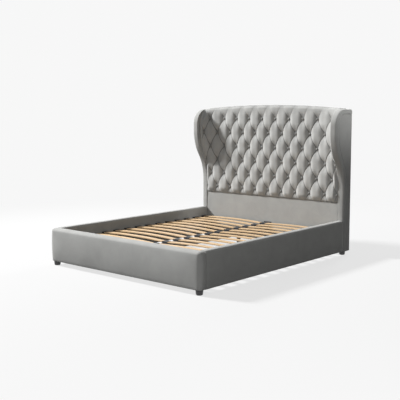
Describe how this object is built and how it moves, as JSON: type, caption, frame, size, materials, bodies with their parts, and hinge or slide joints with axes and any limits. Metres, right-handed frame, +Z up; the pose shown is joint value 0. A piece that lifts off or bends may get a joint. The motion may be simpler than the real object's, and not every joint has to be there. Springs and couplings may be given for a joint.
{
  "type": "bed frame",
  "caption": "Upholstered bed frame with a tall winged headboard in deep-buttoned diamond tufting, padded rails and a low padded footboard over a sprung slat base.",
  "frame": {"origin": "on the floor, under the middle of the bed's outer box", "axes": "+Z up, +Y towards the head end, +X to the right seen from the foot end"},
  "size_m": [1.78, 2.212, 1.428],
  "materials": {
    "back_cloth": "grey velvet drawn flat over the back panel",
    "beech_slat": "layered beech, clear lacquer",
    "black_foot": "turned hardwood, black satin lacquer",
    "black_plastic": "moulded, matt",
    "coated_steel": "black powder coat",
    "pine": "planed softwood, raw",
    "plain_velvet": "grey velvet with a soft sheen",
    "plywood": "birch plywood, raw",
    "tufted_velvet": "grey velvet with a soft sheen, deep buttoned",
    "zinc_steel": "zinc plated"
  },
  "bodies": {
    "bed_frame": {"beam_hanger_foot": "coated_steel", "beam_hanger_head": "coated_steel", "centre_beam": "coated_steel", "centre_leg_foot": "coated_steel", "centre_leg_head": "coated_steel", "centre_slat_holders": "black_plastic", "corner_bolts": "zinc_steel", "corner_brackets": "coated_steel", "corner_liner_left": "plywood", "corner_liner_right": "plywood", "foot_pads": "black_plastic", "footboard_board": "pine", "footboard_cover": "plain_velvet", "front_foot_left": "black_foot", "front_foot_right": "black_foot", "headboard_back_cover": "back_cloth", "headboard_board": "plywood", "headboard_bottom_rail": "pine", "headboard_cross_rail": "pine", "headboard_inner_posts": "pine", "headboard_lower_pad": "plain_velvet", "headboard_post_left": "pine", "headboard_post_right": "pine", "headboard_top_cover": "plain_velvet", "headboard_top_rail": "pine", "lock_nut_foot": "zinc_steel", "lock_nut_head": "zinc_steel", "pad_buttons": "tufted_velvet", "rear_foot_left": "black_foot", "rear_foot_right": "black_foot", "side_rail_board_left": "pine", "side_rail_board_right": "pine", "side_rail_cover_left": "plain_velvet", "side_rail_cover_right": "plain_velvet", "slat_holders_left": "black_plastic", "slat_holders_right": "black_plastic", "slat_ledger_left": "pine", "slat_ledger_right": "pine", "sprung_slats_left": "beech_slat", "sprung_slats_right": "beech_slat", "tufted_pad_corner_left": "tufted_velvet", "tufted_pad_corner_right": "tufted_velvet", "tufted_pad_middle": "tufted_velvet", "wing_border_left": "plain_velvet", "wing_border_right": "plain_velvet", "wing_formers_left": "plywood", "wing_formers_right": "plywood", "wing_outer_pad_left": "plain_velvet", "wing_outer_pad_right": "plain_velvet", "wing_side_board_left": "plywood", "wing_side_board_right": "plywood"},
    "foot_glide": {"screw_glide_foot": "black_plastic"},
    "head_glide": {"screw_glide_head": "black_plastic"}
  },
  "joints": [
    {"name": "foot_glide_height", "type": "slide", "parent": "bed_frame", "child": "foot_glide", "axis": [0, 0, 1], "range_m": [-0.012, 0.01]},
    {"name": "head_glide_height", "type": "slide", "parent": "bed_frame", "child": "head_glide", "axis": [0, 0, 1], "range_m": [-0.012, 0.01]}
  ]
}
